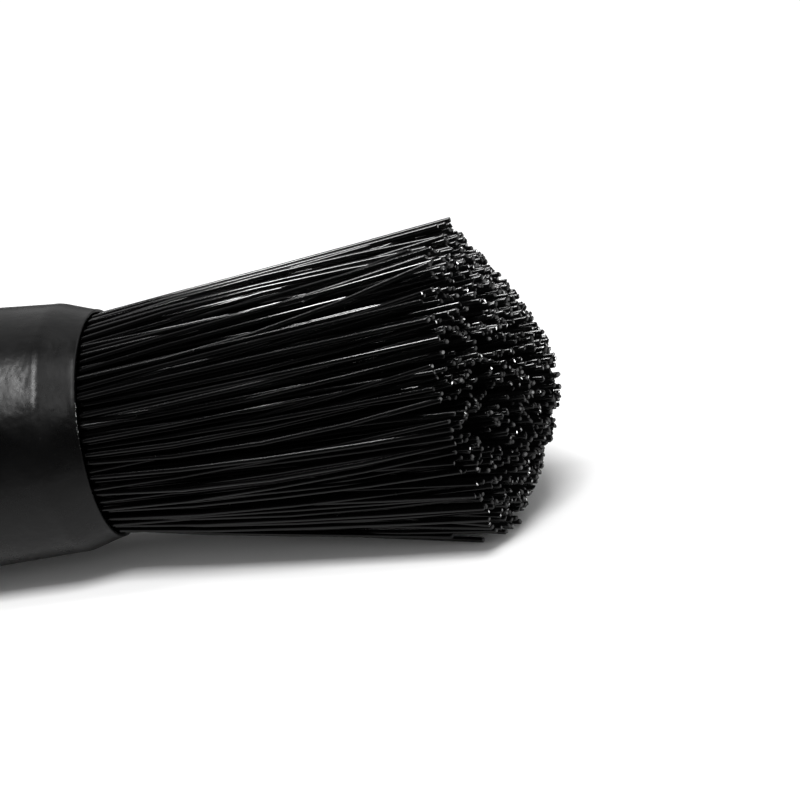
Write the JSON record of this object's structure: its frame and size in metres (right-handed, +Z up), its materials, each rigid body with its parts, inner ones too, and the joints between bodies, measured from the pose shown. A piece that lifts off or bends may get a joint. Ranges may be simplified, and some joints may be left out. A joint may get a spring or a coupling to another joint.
{
  "type": "drivetrain brush",
  "caption": "Straight hand brush with a flared, dome-trimmed round knot of stiff black bristles in a chamfered collar, a soft grip sleeve and a tail tab with a hanging hole.",
  "frame": {"origin": "on the surface that the brush lies on, under the middle of its length", "axes": "+X along the brush towards the bristle tips, +Z up from the flat under the grip"},
  "size_m": [0.1956, 0.0332, 0.0312],
  "materials": {
    "collar_plastic": "satin black moulded plastic",
    "core_plastic": "plain moulded plastic, hidden",
    "grip_rubber": "soft matt black rubber",
    "cap_plastic": "satin black moulded plastic",
    "band_steel": "plain steel strip, hidden",
    "potting_resin": "cured amber resin, hidden",
    "bristle_nylon": "glossy black nylon filament"
  },
  "bodies": {
    "root": {"nose_collar": "collar_plastic", "handle_core": "core_plastic", "grip_sleeve": "grip_rubber", "tail_cap": "cap_plastic", "root_band": "band_steel", "resin_plug": "potting_resin", "bristles_core": "bristle_nylon", "bristles_inner": "bristle_nylon", "bristles_middle": "bristle_nylon", "bristles_outer": "bristle_nylon"}
  },
  "joints": []
}
